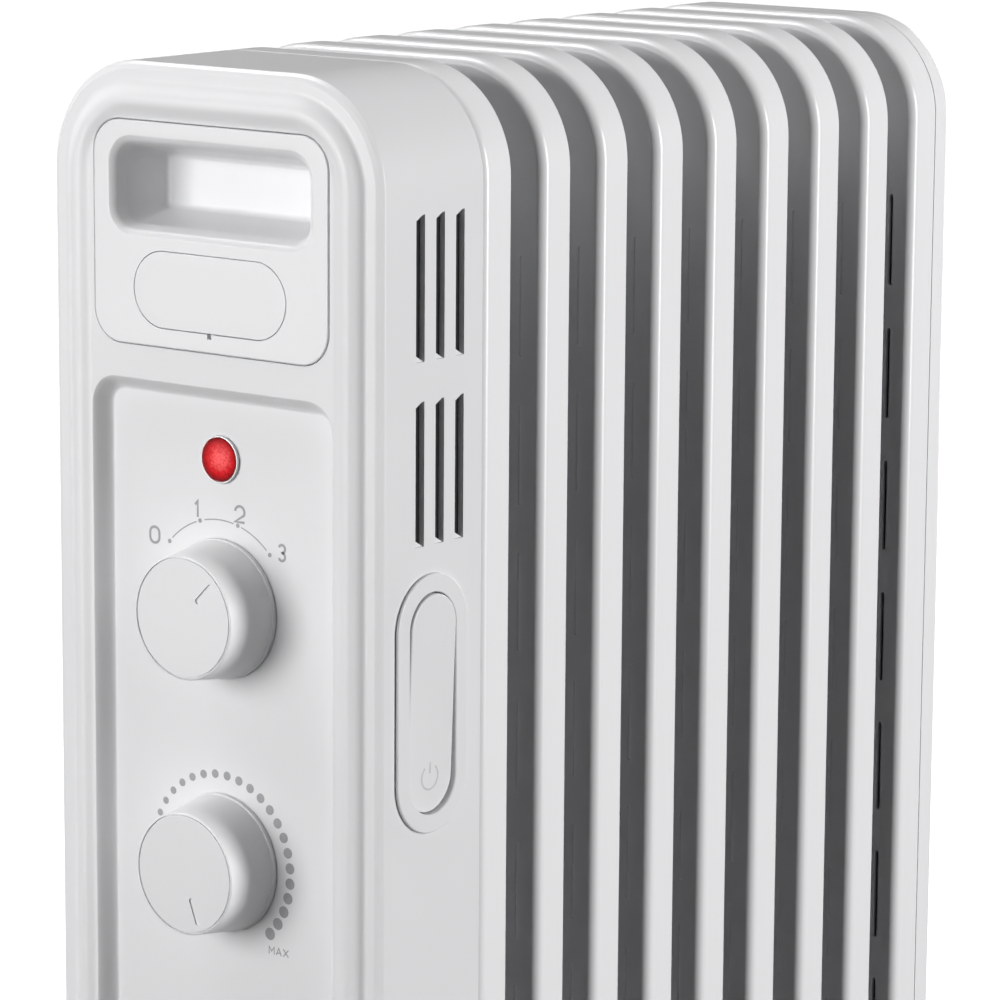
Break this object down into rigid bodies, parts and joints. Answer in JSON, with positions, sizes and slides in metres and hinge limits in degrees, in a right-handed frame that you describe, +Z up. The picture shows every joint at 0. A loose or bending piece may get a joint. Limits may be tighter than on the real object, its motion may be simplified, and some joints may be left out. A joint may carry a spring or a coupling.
{
  "type": "oil filled radiator heater",
  "caption": "Free-standing oil filled radiator heater: folded steel fins on oil tubes, a front control box with knobs, a lamp and a side rocker, and swivel casters.",
  "frame": {"origin": "on the floor under the middle of the heater's bounding box", "axes": "+Z up; -Y is the way the control panel faces; +X is to the right of a person facing the panel; the row of fins runs along Y"},
  "size_m": [0.24, 0.4404, 0.64],
  "materials": {
    "housing": "white moulded plastic, satin gloss",
    "panel": "white moulded plastic, satin gloss",
    "knob": "white moulded plastic, satin gloss",
    "rocker": "white moulded plastic, satin gloss",
    "bezel": "bright plated ring",
    "lens": "translucent red polycarbonate, polished",
    "neon": "clear glass with an orange glow",
    "switch": "black moulded",
    "ceramic": "cream moulded ceramic",
    "zinc_plate": "galvanised sheet",
    "terminal": "cream nylon",
    "bright_steel": "machined",
    "lead": "sleeved wire",
    "plain_steel": "machined",
    "seal": "fibre and rubber",
    "enamel": "white baked enamel, semi gloss",
    "foot_enamel": "white baked enamel, semi gloss",
    "fastener": "zinc plated",
    "gland": "black",
    "caster": "black nylon",
    "wheel": "black nylon"
  },
  "bodies": {
    "heater": {"control_housing": "housing", "handle_panel": "panel", "badge_plate": "panel", "lamp_bezel": "bezel", "lamp_lens": "lens", "neon_lamp": "neon", "selector_switch": "switch", "thermostat_body": "ceramic", "rocker_frame": "rocker", "rocker_switch": "switch", "heat_shield": "zinc_plate", "terminal_block": "terminal", "thermal_cutout": "bright_steel", "supply_lead": "lead", "switch_lead": "lead", "cutout_lead": "lead", "element_lead": "lead", "heating_element": "plain_steel", "element_seal": "seal", "fin_1": "enamel", "fin_2": "enamel", "fin_3": "enamel", "fin_4": "enamel", "fin_5": "enamel", "fin_6": "enamel", "fin_7": "enamel", "fin_8": "enamel", "fin_9": "enamel", "end_cover": "enamel", "filler_plug": "plain_steel", "top_rear_plug": "plain_steel", "bottom_rear_plug": "plain_steel", "top_cover_screw": "fastener", "bottom_cover_screw": "fastener", "cord_gland": "gland", "front_foot": "foot_enamel", "rear_foot": "foot_enamel", "front_u_bolt": "fastener", "rear_u_bolt": "fastener", "front_left_wing_nut": "fastener", "front_right_wing_nut": "fastener", "rear_left_wing_nut": "fastener", "rear_right_wing_nut": "fastener"},
    "selector": {"selector_knob": "knob", "selector_shaft": "bright_steel"},
    "thermostat": {"thermostat_knob": "knob", "thermostat_shaft": "bright_steel"},
    "rocker": {"rocker_button": "rocker"},
    "front_left_caster": {"front_left_fork": "caster", "front_left_axle": "fastener"},
    "front_left_roller": {"front_left_wheel": "wheel"},
    "front_right_caster": {"front_right_fork": "caster", "front_right_axle": "fastener"},
    "front_right_roller": {"front_right_wheel": "wheel"},
    "rear_left_caster": {"rear_left_fork": "caster", "rear_left_axle": "fastener"},
    "rear_left_roller": {"rear_left_wheel": "wheel"},
    "rear_right_caster": {"rear_right_fork": "caster", "rear_right_axle": "fastener"},
    "rear_right_roller": {"rear_right_wheel": "wheel"}
  },
  "joints": [
    {"name": "selector_turn", "type": "hinge", "parent": "heater", "child": "selector", "pos_m": [0, -0.22025, 0.4186], "axis": [0, -1, 0], "range_deg": [0, 90]},
    {"name": "thermostat_turn", "type": "hinge", "parent": "heater", "child": "thermostat", "pos_m": [0, -0.22025, 0.3118], "axis": [0, -1, 0], "range_deg": [0, 295]},
    {"name": "rocker_tilt", "type": "hinge", "parent": "heater", "child": "rocker", "pos_m": [0.085, -0.16895, 0.387], "axis": [0, -1, 0], "range_deg": [0, 4]},
    {"name": "front_left_swivel", "type": "hinge", "parent": "heater", "child": "front_left_caster", "pos_m": [-0.104, -0.06605, 0.0435], "axis": [0, 0, 1], "continuous": true},
    {"name": "front_left_roll", "type": "hinge", "parent": "front_left_caster", "child": "front_left_roller", "pos_m": [-0.104, -0.05405, 0.02], "axis": [1, 0, 0], "continuous": true},
    {"name": "front_right_swivel", "type": "hinge", "parent": "heater", "child": "front_right_caster", "pos_m": [0.104, -0.06605, 0.0435], "axis": [0, 0, 1], "continuous": true},
    {"name": "front_right_roll", "type": "hinge", "parent": "front_right_caster", "child": "front_right_roller", "pos_m": [0.104, -0.05405, 0.02], "axis": [1, 0, 0], "continuous": true},
    {"name": "rear_left_swivel", "type": "hinge", "parent": "heater", "child": "rear_left_caster", "pos_m": [-0.104, 0.13395, 0.0435], "axis": [0, 0, 1], "continuous": true},
    {"name": "rear_left_roll", "type": "hinge", "parent": "rear_left_caster", "child": "rear_left_roller", "pos_m": [-0.104, 0.14595, 0.02], "axis": [1, 0, 0], "continuous": true},
    {"name": "rear_right_swivel", "type": "hinge", "parent": "heater", "child": "rear_right_caster", "pos_m": [0.104, 0.13395, 0.0435], "axis": [0, 0, 1], "continuous": true},
    {"name": "rear_right_roll", "type": "hinge", "parent": "rear_right_caster", "child": "rear_right_roller", "pos_m": [0.104, 0.14595, 0.02], "axis": [1, 0, 0], "continuous": true}
  ]
}
